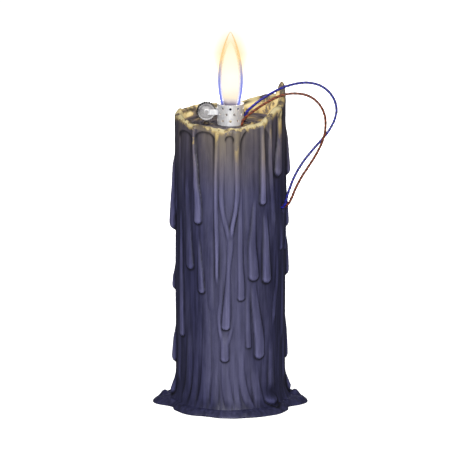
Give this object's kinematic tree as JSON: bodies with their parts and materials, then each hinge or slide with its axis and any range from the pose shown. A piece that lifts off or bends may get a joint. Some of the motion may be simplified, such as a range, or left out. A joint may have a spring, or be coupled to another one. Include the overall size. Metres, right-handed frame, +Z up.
{
  "type": "trick candle with flint lighter top and flame lamp",
  "caption": "Dripping wax pillar candle with a flame-shaped lamp in a perforated lighter chimney, a toothed striker wheel and two insulated leads looping out to its side.",
  "frame": {"origin": "on the candle's axis at the surface it stands on", "axes": "+Z up along the candle, +X towards the side where the leads loop out, -Y towards the viewer"},
  "size_m": [0.1249, 0.0908, 0.253],
  "materials": {
    "wax": "dark blue-violet candle wax, satin, with paler ridges and a warm lit rim",
    "warm_wax": "wax lit warm yellow by the flame, soft ripples",
    "white_plastic": "moulded, satin",
    "bright_steel": "bright zinc",
    "chimney_steel": "pale brushed sheet steel with sooty edges",
    "wheel_steel": "cut teeth, pale",
    "old_brass": "tarnished",
    "flint": "dull grey",
    "spring_steel": "plain wire",
    "socket_ceramic": "unglazed",
    "lamp_brass": "satin",
    "emitter": "glowing lens",
    "flame_core": "glowing white core",
    "flame_shell": "clear shell, cream above and blue at the foot",
    "blue_insulation": "twisted lacquered cover",
    "brown_insulation": "twisted lacquered cover",
    "black_rubber": "matt",
    "board_green": "solder resist",
    "black_plastic": "fine spark texture",
    "cell_wrap": "plain sleeve",
    "door_plastic": "fine spark texture",
    "switch_grey": "ribbed"
  },
  "bodies": {
    "candle": {"wax_body": "wax", "wax_floor": "warm_wax", "inner_can": "white_plastic", "burner_plate": "bright_steel", "burner_screws": "bright_steel", "chimney": "chimney_steel", "wheel_cheeks": "chimney_steel", "wheel_pin": "bright_steel", "flint_tube": "old_brass", "flint": "flint", "flint_spring": "spring_steel", "flint_screw": "old_brass", "lamp_socket": "socket_ceramic", "lamp_cap": "lamp_brass", "socket_contact": "lamp_brass", "terminal_screws": "lamp_brass", "led_emitter": "emitter", "flame_core": "flame_core", "flame_shell": "flame_shell", "lead_blue": "blue_insulation", "lead_brown": "brown_insulation", "inner_leads_blue": "blue_insulation", "inner_leads_brown": "brown_insulation", "lead_grommet": "black_rubber", "driver_board": "board_green", "board_parts": "black_plastic", "board_spacers": "lamp_brass", "battery_tray": "black_plastic", "top_contacts": "bright_steel", "cell_1": "cell_wrap", "cell_2": "cell_wrap", "cell_3": "cell_wrap", "base_plate": "black_plastic", "base_screws": "bright_steel", "door_hinge_pin": "bright_steel", "switch_body": "black_plastic", "rubber_feet": "black_rubber"},
    "striker": {"striker_wheel": "wheel_steel"},
    "door": {"battery_door": "door_plastic", "contact_springs": "spring_steel", "door_contacts": "bright_steel"},
    "switch": {"switch_slider": "switch_grey"}
  },
  "joints": [
    {"name": "wheel_spin", "type": "hinge", "parent": "candle", "child": "striker", "pos_m": [-0.0159, 0, 0.1995], "axis": [0, 1, 0], "continuous": true},
    {"name": "battery_door_hinge", "type": "hinge", "parent": "candle", "child": "door", "pos_m": [0, 0.0188, 0.00225], "axis": [1, 0, 0], "range_deg": [0, 100]},
    {"name": "switch_slide", "type": "slide", "parent": "candle", "child": "switch", "axis": [1, 0, 0], "range_m": [0, 0.004]}
  ]
}
